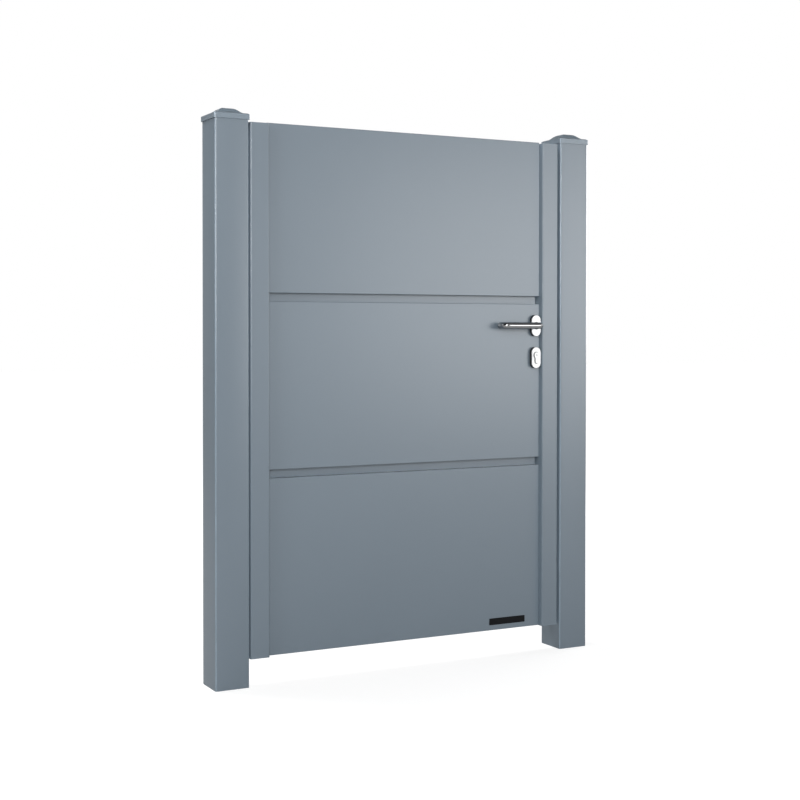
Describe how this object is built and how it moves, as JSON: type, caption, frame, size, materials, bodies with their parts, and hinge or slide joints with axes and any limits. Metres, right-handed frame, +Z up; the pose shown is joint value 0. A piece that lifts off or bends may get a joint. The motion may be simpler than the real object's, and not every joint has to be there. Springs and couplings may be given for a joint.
{
  "type": "pedestrian gate",
  "caption": "Solid pedestrian gate: a panelled leaf hung between two square capped posts, with a round-bar lever, a lock cylinder and a blank label plate.",
  "frame": {"origin": "centre of the underside of the hinge post, on the ground", "axes": "+X from the hinge post to the latch post, +Y to the back, the side that the leaf opens to, +Z up"},
  "size_m": [1.241, 0.13, 1.597],
  "materials": {
    "powder_coat": "satin blue-grey powder coat",
    "plain_steel": "satin stainless steel",
    "polished_chrome": "polished",
    "black_plate": "gloss black, blank"
  },
  "bodies": {
    "root": {"hinge_post": "powder_coat", "latch_post": "powder_coat", "hinge_post_foot": "powder_coat", "latch_post_foot": "powder_coat", "hinge_post_cap": "powder_coat", "latch_post_cap": "powder_coat", "strike_plate": "plain_steel", "upper_post_knuckles": "powder_coat", "lower_post_knuckles": "powder_coat", "upper_hinge_pin": "plain_steel", "lower_hinge_pin": "plain_steel"},
    "leaf": {"hinge_stile": "powder_coat", "latch_stile": "powder_coat", "hinge_stile_top_cap": "powder_coat", "hinge_stile_bottom_cap": "powder_coat", "latch_stile_top_cap": "powder_coat", "latch_stile_bottom_cap": "powder_coat", "bottom_rail": "powder_coat", "lower_joint_rail": "powder_coat", "upper_joint_rail": "powder_coat", "top_rail": "powder_coat", "panel_bottom": "powder_coat", "panel_middle": "powder_coat", "panel_top": "powder_coat", "upper_leaf_knuckle": "powder_coat", "lower_leaf_knuckle": "powder_coat", "panel_screws": "plain_steel", "lock_case": "plain_steel", "lock_faceplate": "plain_steel", "latch_bolt": "plain_steel", "dead_bolt": "plain_steel", "lock_cylinder": "plain_steel", "rosette_front": "polished_chrome", "rosette_back": "polished_chrome", "escutcheon_front": "polished_chrome", "escutcheon_back": "polished_chrome", "label_plate": "black_plate"},
    "handle": {"spindle": "plain_steel", "lever_front": "polished_chrome", "lever_back": "polished_chrome"}
  },
  "joints": [
    {"name": "leaf_hinge", "type": "hinge", "parent": "root", "child": "leaf", "pos_m": [0.065, 0.027, 0], "axis": [0, 0, 1], "range_deg": [0, 100]},
    {"name": "handle_turn", "type": "hinge", "parent": "leaf", "child": "handle", "pos_m": [1.003, -0.018, 1.001], "axis": [0, -1, 0], "range_deg": [0, 40], "stiffness_Nm_per_rad": 1.5, "springref_deg": -28.65}
  ]
}
